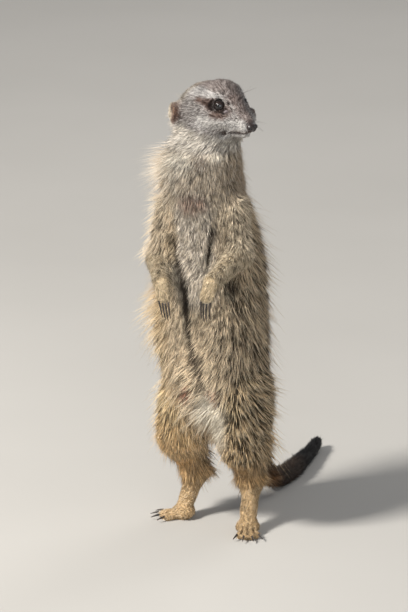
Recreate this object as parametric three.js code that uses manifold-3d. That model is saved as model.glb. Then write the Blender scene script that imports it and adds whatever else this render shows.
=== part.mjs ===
// A standing meerkat, life size, in millimetres: +Z is up, the chest faces -Y and the animal's left is +X.
// The head looks over the left shoulder, the forearms hang in front of the chest and the tail lies behind.
// Every solid is measured out to the tips of the coat.

import * as THREE from 'three';
import { mergeVertices } from 'three/addons/utils/BufferGeometryUtils.js';
import Module from 'manifold-3d';

const wasm = await Module();
wasm.setup();

// ---------------------------------------------------------------- driving dimensions

const PARTING_GAP = 0.3;
const FLOOR = 0;

// The column of trunk and neck: ovals at rising heights. x and y are the middle of each oval,
// wide and deep are its half width and half depth, and keel narrows its front.
const COLUMN = [
  { z: 56, x: 0, y: 12, wide: 9, deep: 14, keel: 0 },
  { z: 68, x: 0, y: 11, wide: 18, deep: 29, keel: 0 },
  { z: 84, x: -1, y: 8, wide: 26, deep: 38, keel: 0 },
  { z: 104, x: -2.5, y: 5, wide: 34.5, deep: 41.5, keel: 0 },
  { z: 126, x: -4, y: 3, wide: 38, deep: 42, keel: 0.03 },
  { z: 150, x: -4.5, y: 3, wide: 37.5, deep: 41, keel: 0.08 },
  { z: 176, x: -4, y: 4, wide: 34.5, deep: 39.5, keel: 0.24 },
  { z: 197, x: -5, y: 4.5, wide: 31, deep: 37, keel: 0.32 },
  { z: 215, x: -6.5, y: 1.5, wide: 29, deep: 33, keel: 0.24 },
  { z: 230, x: -6.5, y: -1.5, wide: 27.8, deep: 29, keel: 0.08 },
  { z: 244, x: -6, y: -4.5, wide: 26.8, deep: 26, keel: 0 },
  { z: 258, x: -3.5, y: -5, wide: 24, deep: 23.5, keel: 0 },
  { z: 276, x: 0, y: -7, wide: 17, deep: 17, keel: 0 },
];
const NECK_FOOT = 226;
const NECK_TOP = 259;
const NAPE_TOP = 276;

// The head is set out from the middle of the line between the eyes: left, forward and up.
const EYE_LINE = new THREE.Vector3(15.3, -11.3, 286.5);
const HEAD_YAW = THREE.MathUtils.degToRad(59);
const HEAD_ROLL = THREE.MathUtils.degToRad(2);
const HEAD_PITCH = THREE.MathUtils.degToRad(-2);
const EYE_RADIUS = 4.6;
const EYE_SET = { left: 10.6, forward: 0.6, up: 0.1 };
const EAR_SET = { left: 21.6, forward: -31.5, up: -8.5 };
const NOSE_SET = { left: 0, forward: 22.4, up: -10.4 };
const NOSE_RADII = [4, 2.9, 3.2];
const EAR_RADII = [3.6, 7.4, 8.8];
const EAR_DISH = { out: 4.2, forward: 1.2, up: -0.4, radii: [3.6, 4.2, 6] };
const EAR_SPLAY = 24;

// The skull's rounded masses, set out in the same way, with radii across, along and up.
const BRAINCASE = { at: [0, -21, -4.8], radii: [20.2, 24, 16.6] };
const BROW = { at: [0, -8, 2.2], radii: [13.8, 12.6, 12.8] };
const CHEEK = { at: [11.5, -15, -10.5], radii: [9.8, 14, 11] };
const MUZZLE = { from: [0, 0, -7.8], to: [0, 17, -11], fromRadius: 12.8, toRadius: 5.9 };
const CHEEK_PAD = { at: [11, 1.4, -8.2], radii: [5.8, 8.6, 4.6] };
const JAW = { from: [0, -10, -14], to: [0, 13.5, -14.8], fromRadius: 8, toRadius: 3.8 };

// Joints of the limbs, in the animal's pose.
const ARMS = {
  right: {
    shoulder: [-27, -9, 213],
    elbow: [-34, -13, 180],
    wrist: [-19.5, -43, 173.5],
    knuckles: [-16, -50, 168.5],
  },
  left: {
    shoulder: [16, -9, 218],
    elbow: [24.5, -16.5, 189.5],
    wrist: [16.5, -46, 179],
    knuckles: [15.5, -51.5, 172.5],
  },
};
const LEGS = {
  right: { hip: [-20.5, 5, 92], knee: [-22, -9, 60], hock: [-19, 16, 30], ball: [-22.5, 0, 5.5], toes: 205 },
  left: { hip: [21.5, 3, 92], knee: [22, -11, 60], hock: [20.5, 13, 30], ball: [27.5, -12, 5.5], toes: 292 },
};
const ARM_RADII = { shoulder: 12, aboveElbow: 8.6, belowElbow: 9, wrist: 6.6, palm: 6, knuckles: 4.4 };
const THIGH = { along: 0.28, radii: [17.2, 32.5, 36], lean: -16 };
const KNEE_LAP = 10; // how far past the knee's parting the thigh and the shank are drawn before they are cut
const LEG_RADII = { knee: 16, aboveHock: 8.4, belowHock: 6.4, ball: 5.6 };
const PAD = { height: 4.6, radii: [8.6, 8.6, 5.2] };
const TOE_LENGTH = 12;
const TOE_RADIUS = 2.6;
const TOE_FAN = 19;
const HIND_CLAW = 7.5;
const FORE_CLAW = 17;
const CLAW_RADIUS = 1.05;
const FINGER_LENGTH = 5.5;
const FINGER_SPACING = 2.3;
const FINGER_RADIUS = 2.1;

// The tail: down from the rump, along the floor and away.
const TAIL_LINE = [
  [0, 30, 92],
  [2, 46, 75],
  [6, 54, 50],
  [9, 59, 27],
  [12, 71, 10],
  [15, 92, 7.2],
  [15, 114, 6.8],
  [13, 141, 6.2],
  [9, 168, 5.4],
];
const TAIL_ROOT_RADIUS = 15;
const TAIL_MIDDLE_RADIUS = 7.6;
const TAIL_TIP_RADIUS = 5.6;
const TAIL_PARTINGS = [0.47, 0.74];

// How wide the fillets are where masses run together.
const FILLET = { skull: 7, throat: 9, arm: 5, leg: 9 };

const COLOURS = {
  sand: 0xa58d6b,
  cream: 0xb7a488,
  grey: 0x8f8373,
  gold: 0xa88556,
  eye: 0x120d0a,
  ear: 0x4a3a2c,
  nose: 0x2a211d,
  claw: 0x1c1815,
  paw: 0xc0aa86,
  tailTip: 0x2a211a,
};

// ---------------------------------------------------------------- forms
// A form gives the distance from a point to its surface, less than nothing inside.

const vector = (x, y, z) => new THREE.Vector3(x, y, z);
const place = (list) => new THREE.Vector3(...list);

/** A ball with its own radius along each of its three axes. */
function egg(centre, radii, turn = new THREE.Quaternion()) {
  const turnBack = turn.clone().invert();
  return (point) => {
    const scaled = point.clone().sub(centre).applyQuaternion(turnBack).divide(radii);
    const reach = Math.max(scaled.length(), 1e-6);
    return (reach * (reach - 1)) / Math.max(scaled.divide(radii).length(), 1e-6);
  };
}

/** A round bar between two points, with a radius of its own at each end. */
function limb(start, end, startRadius, endRadius) {
  const line = new THREE.Line3(start, end);
  const nearest = new THREE.Vector3();
  return (point) => {
    const along = line.closestPointToPointParameter(point, true);
    const radius = THREE.MathUtils.lerp(startRadius, endRadius, along);
    return line.at(along, nearest).distanceTo(point) - radius;
  };
}

/** An upright column of ovals, smooth from each to the next. */
function column(ovals) {
  const heights = ovals.map((oval) => oval.z);
  const sizes = ovals.flatMap((oval) => [oval.x, oval.y, oval.wide, oval.deep, oval.keel]);
  const sizeAt = new THREE.CubicInterpolant(heights, sizes, 5, new Float64Array(5));
  return (point) => {
    const height = THREE.MathUtils.clamp(point.z, heights[0], heights.at(-1));
    const [x, y, wide, deep, keel] = sizeAt.evaluate(height);
    const back = (point.y - y) / deep;
    const narrowed = wide * (1 - keel * Math.min(Math.max(-back, 0), 1));
    const radial = (Math.hypot((point.x - x) / narrowed, back) - 1) * Math.min(narrowed, deep);
    const past = Math.max(heights[0] - point.z, point.z - heights.at(-1), 0);
    return past > 0 ? Math.hypot(Math.max(radial, 0), past) : radial;
  };
}

/** Forms run together, with a fillet of about the given size where they meet. */
function blend(fillet, ...forms) {
  return (point) =>
    forms
      .map((form) => form(point))
      .reduce((one, other) => {
        const near = Math.max(fillet - Math.abs(one - other), 0) / fillet;
        return Math.min(one, other) - (near * near * fillet) / 4;
      });
}

/** A form kept on the far side of a plane, less a margin that is cut away later. */
const keptBy = (form, plane, margin) => (point) =>
  Math.max(form(point), -plane.distanceToPoint(point) - margin);

/** A form made larger all round. */
const grown = (form, by) => (point) => form(point) - by;

// ---------------------------------------------------------------- solids

const FARTHEST_EDGE = 110;
const EDGE_STEPS = 400;
const EDGE_ACCURACY = 0.01;
const EDGE_STRIDE = 0.45;

/** Where a ray from a point inside a form leaves it for the last time, found from outside in. */
function edge(form, inside, direction) {
  const point = new THREE.Vector3();
  let reach = FARTHEST_EDGE;
  for (let step = 0; step < EDGE_STEPS; step++) {
    const away = form(point.copy(inside).addScaledVector(direction, reach));
    if (away < EDGE_ACCURACY || reach < 0.2) break;
    reach = Math.max(reach - Math.max(away * EDGE_STRIDE, EDGE_ACCURACY), 0.1);
  }
  return point.clone();
}

/** A sphere's net of sides and rings, drawn in from outside onto a form about a straight axis. */
function wrap(form, start, end, sides, rings) {
  const axis = end.clone().sub(start).normalize();
  const poles = [edge(form, start, axis.clone().negate()), edge(form, end, axis)];
  const turn = new THREE.Quaternion().setFromUnitVectors(vector(0, 1, 0), axis);
  return drawnIn(sides, rings, (along, out) => {
    const middle = poles[0].clone().lerp(poles[1], along);
    return out ? edge(form, middle, out.applyQuaternion(turn)) : middle;
  });
}

/** A sphere's net, drawn in to a radius that changes along a curve. */
function taper(curve, radiusAt, sides, rings) {
  return drawnIn(sides, rings, (along, out) => {
    const middle = curve.getPointAt(along);
    if (!out) return middle;
    const tangent = curve.getTangentAt(along);
    const turn = new THREE.Quaternion().setFromUnitVectors(vector(0, 1, 0), tangent);
    return middle.addScaledVector(out.applyQuaternion(turn), radiusAt(along));
  });
}

/** A closed net of vertices: pointAt gives each its place from how far along it is and its way out. */
function drawnIn(sides, rings, pointAt) {
  const net = new THREE.SphereGeometry(1, sides, rings);
  net.deleteAttribute('normal');
  net.deleteAttribute('uv');
  const geometry = mergeVertices(net, 1e-5);
  const position = geometry.getAttribute('position');
  for (let i = 0; i < position.count; i++) {
    const unit = new THREE.Vector3().fromBufferAttribute(position, i);
    const along = (1 + unit.y) / 2;
    const isPole = Math.abs(unit.y) > 1 - 1e-6;
    const point = pointAt(along, isPole ? null : unit.setY(0).normalize());
    position.setXYZ(i, point.x, point.y, point.z);
  }
  return solid(geometry);
}

/** A closed geometry as a solid that can be joined and cut. */
function solid(geometry) {
  return new wasm.Manifold(
    new wasm.Mesh({
      numProp: 3,
      vertProperties: new Float32Array(geometry.getAttribute('position').array),
      triVerts: new Uint32Array(geometry.index.array),
    }),
  );
}

const HALF_SPACE = 700;

/** The part of a solid on the side of a plane that its normal points to, half a gap clear of it. */
function onSide(shape, plane, gap = PARTING_GAP / 2) {
  const box = new THREE.BoxGeometry(HALF_SPACE, HALF_SPACE, HALF_SPACE);
  box.deleteAttribute('normal');
  box.deleteAttribute('uv');
  box.translate(0, 0, HALF_SPACE / 2);
  box.applyQuaternion(new THREE.Quaternion().setFromUnitVectors(vector(0, 0, 1), plane.normal));
  const start = plane.normal.clone().multiplyScalar(gap - plane.constant);
  box.translate(start.x, start.y, start.z);
  return shape.intersect(solid(mergeVertices(box, 1e-5)));
}

const planeAt = (point, normal) =>
  new THREE.Plane().setFromNormalAndCoplanarPoint(normal.clone().normalize(), point);
const flipped = (plane) => plane.clone().negate();
const floorPlane = planeAt(vector(0, 0, FLOOR), vector(0, 0, 1));

const model = new THREE.Group();

/** Adds a solid to a group as a named sub-part, placed by its own middle. */
function part(group, name, shape, colour, roughness = 0.9) {
  const { vertProperties, triVerts } = shape.getMesh();
  const geometry = new THREE.BufferGeometry();
  geometry.setAttribute('position', new THREE.BufferAttribute(vertProperties, 3));
  geometry.setIndex(new THREE.BufferAttribute(triVerts, 1));
  geometry.computeBoundingBox();
  const middle = geometry.boundingBox.getCenter(new THREE.Vector3());
  geometry.translate(-middle.x, -middle.y, -middle.z);
  geometry.computeVertexNormals();
  const material = new THREE.MeshStandardMaterial({ color: colour, roughness, metalness: 0 });
  const mesh = new THREE.Mesh(geometry, material);
  mesh.name = name;
  mesh.position.copy(middle);
  group.add(mesh);
  return mesh;
}

// ---------------------------------------------------------------- head

const headTurn = new THREE.Quaternion()
  .setFromAxisAngle(vector(0, 0, 1), HEAD_YAW)
  .multiply(new THREE.Quaternion().setFromAxisAngle(vector(0, 1, 0), HEAD_ROLL))
  .multiply(new THREE.Quaternion().setFromAxisAngle(vector(1, 0, 0), HEAD_PITCH));
const onHead = (left, forward, up) => vector(left, -forward, up).applyQuaternion(headTurn).add(EYE_LINE);
const headEgg = ({ at: [left, forward, up], radii }, side = 1) =>
  egg(onHead(side * left, forward, up), place(radii), headTurn);
const headLimb = ({ from, to, fromRadius, toRadius }) =>
  limb(onHead(...from), onHead(...to), fromRadius, toRadius);

const skull = blend(
  FILLET.skull,
  headEgg(BRAINCASE),
  headEgg(BROW),
  headLimb(MUZZLE),
  headLimb(JAW),
  headEgg(CHEEK, 1),
  headEgg(CHEEK, -1),
  headEgg(CHEEK_PAD, 1),
  headEgg(CHEEK_PAD, -1),
);
const neckAndTrunk = column(COLUMN);
const skullAndNeck = blend(FILLET.throat, skull, neckAndTrunk);
const throatPlane = planeAt(vector(0, -6, NECK_TOP), vector(-0.08, 0.04, 1));
const headAxis = [onHead(0, -27, -7), onHead(0, 14, -11)];

// What of the neck stands above the throat plane, up to the nape.
const nape = (point) => Math.max(skullAndNeck(point), neckAndTrunk(point) - 4, point.z - NAPE_TOP);
const napeAxis = [vector(-4, -5, 257), vector(-2, -6, 270)];

const eyeAt = (side) => onHead(side * EYE_SET.left, EYE_SET.forward, EYE_SET.up);
const eyeForm = (side) => egg(eyeAt(side), vector(EYE_RADIUS, EYE_RADIUS, EYE_RADIUS));
const eyeFront = (side) => onHead(side * (EYE_SET.left + 0.7), EYE_SET.forward + 0.5, EYE_SET.up);
const noseAt = (forward) => onHead(NOSE_SET.left, NOSE_SET.forward + forward, NOSE_SET.up);
const noseForm = egg(noseAt(0), place(NOSE_RADII), headTurn);

function buildHead() {
  const group = new THREE.Group();
  const blank = (clearance) =>
    wrap(grown(skull, clearance), ...headAxis, 22, 20)
      .add(wrap(grown(keptBy(nape, throatPlane, 4), clearance), ...napeAxis, 20, 6));
  let head = onSide(blank(0), throatPlane);
  for (const side of [1, -1]) {
    head = head.subtract(wrap(grown(eyeForm(side), PARTING_GAP), eyeAt(side), eyeFront(side), 10, 7));
  }
  head = head.subtract(wrap(grown(noseForm, PARTING_GAP), noseAt(-0.5), noseAt(0.5), 10, 6));
  part(group, 'head', head, COLOURS.grey);
  part(group, 'nose', wrap(noseForm, noseAt(-0.5), noseAt(0.5), 10, 6), COLOURS.nose, 0.45);
  for (const [name, side] of [['left', 1], ['right', -1]]) {
    part(group, `eye_${name}`, wrap(eyeForm(side), eyeAt(side), eyeFront(side), 12, 7), COLOURS.eye, 0.15);
    part(group, `ear_${name}`, earSolid(side).subtract(blank(PARTING_GAP)), COLOURS.ear);
  }
  model.add(group);
}

/** An ear: a low rounded leaf that faces outwards and a little forwards, dished in front. */
function earSolid(side) {
  const middle = onHead(side * EAR_SET.left, EAR_SET.forward, EAR_SET.up);
  const splay = new THREE.Quaternion();
  splay.setFromAxisAngle(vector(0, 0, 1), side * THREE.MathUtils.degToRad(EAR_SPLAY));
  const turn = headTurn.clone().multiply(splay);
  const onEar = (out, forward, up) => vector(side * out, -forward, up).applyQuaternion(turn).add(middle);
  const leaf = egg(middle, place(EAR_RADII), turn);
  const { out, forward, up, radii } = EAR_DISH;
  const dish = egg(onEar(out, forward, up), place(radii), turn);
  const leafSolid = wrap(leaf, onEar(0, -1, 0), onEar(0, 1, 0), 11, 7);
  return leafSolid.subtract(wrap(dish, onEar(out, 0, 0), onEar(out, 2, 0), 9, 5));
}

// ---------------------------------------------------------------- trunk and neck

const collarPlane = planeAt(vector(-6.5, 0, NECK_FOOT), vector(0, -0.12, 1));
const trunkForm = keptBy(neckAndTrunk, flipped(collarPlane), 5);
const trunkAxis = [vector(0, 10, 66), vector(-6.5, -1, 218)];
const trunkBlank = (clearance) => wrap(grown(trunkForm, clearance), ...trunkAxis, 24, 21);
const trunkKeepOut = trunkBlank(PARTING_GAP);

const neckForm = keptBy(keptBy(skullAndNeck, collarPlane, 4), flipped(throatPlane), 4);
const neckAxis = [vector(-6.5, -3, 230), vector(-3.5, -5, 256)];
const neckBlank = (clearance) => wrap(grown(neckForm, clearance), ...neckAxis, 24, 8);
const bodyKeepOut = trunkKeepOut.add(neckBlank(PARTING_GAP));

function buildTrunk() {
  part(model, 'trunk', onSide(trunkBlank(0), flipped(collarPlane)), COLOURS.sand);
  part(model, 'neck', onSide(onSide(neckBlank(0), collarPlane), flipped(throatPlane)), COLOURS.cream);
}

// ---------------------------------------------------------------- arms

function buildArm(name) {
  const side = name === 'left' ? 1 : -1;
  const group = new THREE.Group();
  const [shoulder, elbow, wrist, knuckles] = Object.values(ARMS[name]).map(place);
  const arm = blend(
    FILLET.arm,
    limb(shoulder, elbow, ARM_RADII.shoulder, ARM_RADII.aboveElbow),
    limb(elbow, wrist, ARM_RADII.belowElbow, ARM_RADII.wrist),
  );
  const elbowPlane = bendPlane(shoulder, elbow, wrist);
  const wristPlane = bendPlane(elbow, wrist, knuckles);
  const upper = wrap(keptBy(arm, flipped(elbowPlane), 3), shoulder, elbow, 12, 8);
  part(group, `upper_arm_${name}`, onSide(upper, flipped(elbowPlane)).subtract(bodyKeepOut), COLOURS.sand);
  const lower = wrap(keptBy(keptBy(arm, elbowPlane, 3), flipped(wristPlane), 3), elbow, wrist, 12, 8);
  const forearm = onSide(onSide(lower, elbowPlane), flipped(wristPlane));
  part(group, `forearm_${name}`, forearm.subtract(trunkKeepOut), COLOURS.cream);

  const across = vector(side, 0, 0);
  const reach = knuckles.clone().sub(wrist).normalize();
  const palm = limb(wrist, knuckles, ARM_RADII.palm, ARM_RADII.knuckles);
  let hand = onSide(wrap(palm, wrist, knuckles, 10, 6), wristPlane);
  const fingers = [-1.5, -0.5, 0.5, 1.5].map((step) => {
    const root = knuckles.clone().addScaledVector(across, step * FINGER_SPACING);
    const bend = vector(-step * side * 0.05, 0.08, -0.34);
    const way = reach.clone().add(bend).normalize();
    const tip = root.clone().addScaledVector(way, FINGER_LENGTH - Math.abs(step));
    return { step, root, way, tip, form: limb(root, tip, FINGER_RADIUS, FINGER_RADIUS * 0.86) };
  });
  const keepOuts = fingers.map(({ form, root, tip }) => wrap(grown(form, PARTING_GAP), root, tip, 6, 4));
  fingers.forEach(({ step, root, way, tip, form }, index) => {
    hand = hand.add(wrap(form, root, tip, 6, 4));
    const claw = clawSolid(tip, way, vector(0, 0.55, -1), FORE_CLAW - Math.abs(step));
    const clear = keepOuts.reduce((rest, keepOut) => rest.subtract(keepOut), claw);
    part(group, `claw_fore_${name}_${index + 1}`, clear, COLOURS.claw, 0.35);
  });
  part(group, `hand_${name}`, hand, COLOURS.paw);
  model.add(group);
}

/** The plane that halves a joint's bend, facing away from the body. */
function bendPlane(before, joint, after) {
  const incoming = joint.clone().sub(before).normalize();
  const outgoing = after.clone().sub(joint).normalize();
  return planeAt(joint, incoming.add(outgoing));
}

/** A claw: a thin horn that starts along the toe and curves towards the given way. */
function clawSolid(tip, way, curl, length) {
  const bend = tip.clone().addScaledVector(way, length * 0.45);
  const end = bend.clone().addScaledVector(curl.clone().normalize(), length * 0.6);
  const curve = new THREE.QuadraticBezierCurve3(tip, bend, end);
  const radiusAt = (along) => CLAW_RADIUS * (1 - 0.75 * along) * Math.min(1, 8 * (1 - along) + 0.2);
  return taper(curve, radiusAt, 5, 4);
}

// ---------------------------------------------------------------- legs

function legJoints(name) {
  return ['hip', 'knee', 'hock', 'ball'].map((joint) => place(LEGS[name][joint]));
}

/** A hind leg: a broad thigh that leans forward to the knee, the shank back to the hock, and the foot. */
function legForm(name) {
  const [hip, knee, hock, ball] = legJoints(name);
  const lean = new THREE.Quaternion().setFromAxisAngle(vector(1, 0, 0), THREE.MathUtils.degToRad(THIGH.lean));
  return blend(
    FILLET.leg,
    egg(hip.clone().lerp(knee, THIGH.along), place(THIGH.radii), lean),
    limb(knee, hock, LEG_RADII.knee, LEG_RADII.aboveHock),
    limb(hock, ball, LEG_RADII.belowHock, LEG_RADII.ball),
  );
}

function buildLeg(name) {
  const group = new THREE.Group();
  const { toes } = LEGS[name];
  const [hip, knee, hock, ball] = legJoints(name);
  const leg = legForm(name);
  const kneePlane = planeAt(knee.clone().lerp(hock, 0.3), vector(0, 0.25, -1));
  const hockPlane = bendPlane(knee, hock, ball);
  const thighAxis = [hip.clone().setZ(104), hip.clone().setZ(66)];
  const thighForm = keptBy(leg, flipped(kneePlane), KNEE_LAP);
  const thigh = onSide(wrap(thighForm, ...thighAxis, 18, 13), flipped(kneePlane));
  part(group, `thigh_${name}`, thigh.subtract(trunkKeepOut), COLOURS.gold);
  const shankForm = keptBy(keptBy(leg, kneePlane, KNEE_LAP), flipped(hockPlane), 2);
  const shankAxis = [knee.clone().lerp(hock, 0.16), knee.clone().lerp(hock, 0.82)];
  const shank = wrap(shankForm, ...shankAxis, 14, 9);
  part(group, `shank_${name}`, onSide(onSide(shank, kneePlane), flipped(hockPlane)), COLOURS.gold);

  const footForm = keptBy(leg, hockPlane, 2);
  const padForm = egg(ball.clone().setZ(PAD.height), place(PAD.radii));
  let foot = onSide(wrap(footForm, hock.clone().lerp(ball, 0.2), ball, 10, 7), hockPlane);
  foot = foot.add(wrap(padForm, ball.clone().setZ(3), ball.clone().setZ(6), 11, 5));
  [-1.5, -0.5, 0.5, 1.5].forEach((step, index) => {
    const angle = THREE.MathUtils.degToRad(toes + step * TOE_FAN);
    const way = vector(Math.cos(angle), Math.sin(angle), 0);
    const root = ball.clone().setZ(3.4).addScaledVector(way, 3);
    const long = TOE_LENGTH - 1.6 * (Math.abs(step) - 0.5);
    const tip = root.clone().addScaledVector(way, long).setZ(2.5);
    const toe = limb(root, tip, TOE_RADIUS + 0.5, TOE_RADIUS - 0.3);
    foot = foot.add(wrap(toe, root, tip, 6, 4));
    const clawRoot = tip.clone().setZ(3.4);
    const claw = clawSolid(clawRoot, way, way.clone().setZ(-0.42), HIND_CLAW);
    const toeKeepOut = wrap(grown(toe, PARTING_GAP), root, tip, 6, 4);
    part(group, `claw_hind_${name}_${index + 1}`, claw.subtract(toeKeepOut), COLOURS.claw, 0.35);
  });
  part(group, `foot_${name}`, onSide(foot, floorPlane, 0), COLOURS.paw);
  model.add(group);
}

// ---------------------------------------------------------------- tail

function buildTail() {
  const group = new THREE.Group();
  const curve = new THREE.CatmullRomCurve3(TAIL_LINE.map(place), false, 'centripetal');
  const radiusAt = (along) => {
    const taperIn = THREE.MathUtils.smoothstep(along, 0.05, 0.5);
    const taperOut = THREE.MathUtils.smoothstep(along, 0.5, 1);
    const radius = THREE.MathUtils.lerp(TAIL_ROOT_RADIUS, TAIL_MIDDLE_RADIUS, taperIn);
    const blunt = Math.sqrt(Math.max(1 - THREE.MathUtils.smoothstep(along, 0.965, 1) ** 2, 0.02));
    return THREE.MathUtils.lerp(radius, TAIL_TIP_RADIUS, taperOut) * blunt;
  };
  const tail = onSide(taper(curve, radiusAt, 11, 24), floorPlane, 0).subtract(trunkKeepOut);
  const partingAt = (along) => planeAt(curve.getPointAt(along), curve.getTangentAt(along));
  const [first, second] = TAIL_PARTINGS.map(partingAt);
  part(group, 'tail_base', onSide(tail, flipped(first)), COLOURS.gold);
  part(group, 'tail_middle', onSide(onSide(tail, first), flipped(second)), COLOURS.sand);
  part(group, 'tail_tip', onSide(tail, second), COLOURS.tailTip);
  model.add(group);
}

// ---------------------------------------------------------------- the whole animal

buildTrunk();
buildHead();
for (const name of ['left', 'right']) {
  buildArm(name);
  buildLeg(name);
}
buildTail();

// The origin is on the floor, in the middle of the animal's outline from above.
const bounds = new THREE.Box3().setFromObject(model, true);
const middle = bounds.getCenter(new THREE.Vector3());
model.position.set(-middle.x, -middle.y, -bounds.min.z);

export default model;
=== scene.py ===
"""A life-size standing meerkat: one skin over the solids, a coat of tufts, eyes, nose and claws."""

import math

import bmesh
import bpy
import numpy as np
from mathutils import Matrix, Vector
from mathutils.bvhtree import BVHTree


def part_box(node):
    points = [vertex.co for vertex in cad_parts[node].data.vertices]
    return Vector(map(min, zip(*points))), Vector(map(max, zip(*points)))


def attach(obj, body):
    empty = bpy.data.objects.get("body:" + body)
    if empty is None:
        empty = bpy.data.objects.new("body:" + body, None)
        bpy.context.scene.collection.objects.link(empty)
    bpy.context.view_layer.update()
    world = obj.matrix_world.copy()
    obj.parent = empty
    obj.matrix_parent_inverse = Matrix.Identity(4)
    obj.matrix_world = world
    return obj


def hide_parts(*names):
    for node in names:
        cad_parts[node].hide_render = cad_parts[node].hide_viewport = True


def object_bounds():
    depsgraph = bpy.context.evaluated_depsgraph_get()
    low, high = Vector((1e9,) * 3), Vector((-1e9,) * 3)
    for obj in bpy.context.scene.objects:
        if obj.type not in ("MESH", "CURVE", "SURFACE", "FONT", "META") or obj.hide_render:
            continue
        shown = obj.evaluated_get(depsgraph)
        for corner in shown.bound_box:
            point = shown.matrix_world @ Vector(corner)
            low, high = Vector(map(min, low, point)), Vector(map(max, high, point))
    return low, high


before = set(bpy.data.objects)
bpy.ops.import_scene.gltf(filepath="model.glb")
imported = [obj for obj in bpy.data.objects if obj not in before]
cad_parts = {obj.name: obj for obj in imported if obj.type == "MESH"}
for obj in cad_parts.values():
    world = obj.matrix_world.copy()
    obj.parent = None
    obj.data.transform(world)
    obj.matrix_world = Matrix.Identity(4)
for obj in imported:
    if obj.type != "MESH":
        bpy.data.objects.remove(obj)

MM = 0.001
CAD_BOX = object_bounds()
SIDES = {"left": 1, "right": -1}

# ---------------------------------------------------------------- driving values, in millimetres

LIMBS = [f"{part}_{side}" for side in SIDES for part in (
    "upper_arm", "forearm", "hand", "thigh", "shank", "foot")]
FLESH = ["head", "ear_left", "ear_right", "neck", "trunk", "tail_base", "tail_middle", "tail_tip", *LIMBS]

# How each part of the body is clothed: the coat's depth, the tufts' length and width, how steeply they
# stand at the root and at the tip in degrees, and how many grow on a square millimetre.
COAT = {
    "head": (1.5, 3.4, 0.42, 34, 12, 5.4),
    "ear": (0.3, 1.8, 0.3, 30, 10, 4.6),
    "neck": (4.6, 6.6, 0.38, 40, 18, 4.7),
    "trunk": (6.0, 12.0, 0.47, 38, 17, 2.3),
    "upper_arm": (3.0, 6.2, 0.44, 34, 14, 3.9),
    "forearm": (1.8, 4.4, 0.4, 30, 12, 4.4),
    "hand": (0.35, 2.5, 0.34, 26, 8, 4.2),
    "thigh": (5.4, 11.5, 0.46, 36, 16, 2.15),
    "shank": (5.4, 11.0, 0.48, 32, 14, 2.0),
    "foot": (0.4, 2.1, 0.36, 26, 8, 4.0),
    "tail_base": (4.0, 9.0, 0.5, 34, 16, 2.0),
    "tail_middle": (2.4, 7.0, 0.5, 28, 12, 2.2),
    "tail_tip": (2.2, 5.6, 0.48, 22, 4, 3.0),
}

PROUD = 8.5          # how far hair may stand outside the box of the solids
VOXEL = 1.35         # the skin's first mesh
SEAL = 0.4           # how far the solids are swollen so that their partings close
NOSE_DROP = 25.7     # how far below the eyes' level the nose lies, in degrees
SOLE = 0.25          # how far the skin stays above the floor
HAIR_FLOOR = 0.15    # how far the hair stays above the floor
SHORT = 6.6          # a tuft shorter than this has one ring of corners, a longer one has two
SHORT_FACES, LONG_FACES = 4, 10
LARGEST = 199000     # the most triangles in one piece of the coat
PATCH = 0.003        # a tuft's patch on the map, as a share of the map's side
BRIGHTEST = 0.9      # no channel of a tuft's own colour passes this
EYE_BALL = 4.2       # the eyeball's radius
EYE_SINK = 3.2       # how much deeper it sits than its solid
LID = 0.35           # the lids' thickness
OPENING = (0.57, 0.43)   # half the width and height of the eye's opening, as shares of the ball's radius
CHEST = ((-4.7, -87.5, 219), (0.5, -92, 150))   # down the middle of the chest and belly


def tone(red, green, blue):
    """A colour given as a screen shows it, as the linear light that shaders use."""
    return np.array([((c / 255 + 0.055) / 1.055) ** 2.4 for c in (red, green, blue)])


# ---------------------------------------------------------------- small tools

def unit(vectors):
    """Vectors at length 1, one or many."""
    return vectors / np.maximum(np.linalg.norm(vectors, axis=-1, keepdims=True), 1e-9)


def flat_on(vectors, normals):
    """Vectors without their part along the normals."""
    return vectors - (vectors * normals).sum(1, keepdims=True) * normals


def ease(low, high, value):
    """0 below low, 1 above high, smooth in between."""
    t = np.clip((value - low) / (high - low), 0, 1)
    return t * t * (3 - 2 * t)


def middle(node):
    """The middle of a CAD node's box, in millimetres."""
    low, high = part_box(node)
    return (np.array(low) + np.array(high)) / 2 / MM


def ripple(points, size, seed, waves=7):
    """A soft random field of about -1 to 1 whose waves are about the given size."""
    rng = np.random.default_rng(seed)
    ways = unit(rng.normal(size=(waves, 3))) * rng.uniform(0.7, 1.5, (waves, 1))
    phases = rng.uniform(0, 2 * math.pi, waves)
    return np.sin(points @ ways.T * (2 * math.pi / size) + phases).sum(1) / math.sqrt(waves)


def speckle(points, size, seed):
    """A random value of 0 to 1 shared by all the points of one small cell."""
    bent = points / size + 0.4 * np.sin(points[:, [1, 2, 0]] * (2.3 / size))
    mixed = (np.floor(bent).astype(np.int64) * [73856093, 19349663, 83492791]).sum(1) + seed * 7919
    mixed = (mixed ^ (mixed >> 13)) * 1274126177
    return ((mixed ^ (mixed >> 16)) & 4095) / 4095


def near_band(value, low, high, soft):
    """1 between low and high, fading to 0 over the soft width outside them."""
    return ease(low - soft, low, value) * (1 - ease(high, high + soft, value))


def near_line(points, start, end, radius, soft=0.5):
    """1 on the line between two points, fading to 0 at the radius; soft is the share that fades."""
    start, end = np.array(start, float), np.array(end, float)
    line = end - start
    along = np.clip((points - start) @ line / max(line @ line, 1e-9), 0, 1)
    away = np.linalg.norm(points - start - along[:, None] * line, axis=1)
    return 1 - ease(radius * (1 - soft), radius * (1 + soft), away)


def near_point(points, centre, radii, soft=0.5):
    """1 inside an egg of these radii, fading to 0 outside it."""
    away = np.linalg.norm((points - np.array(centre, float)) / np.array(radii, float), axis=1)
    return 1 - ease(1 - soft, 1 + soft, away)


# ---------------------------------------------------------------- the head's own directions

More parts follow.
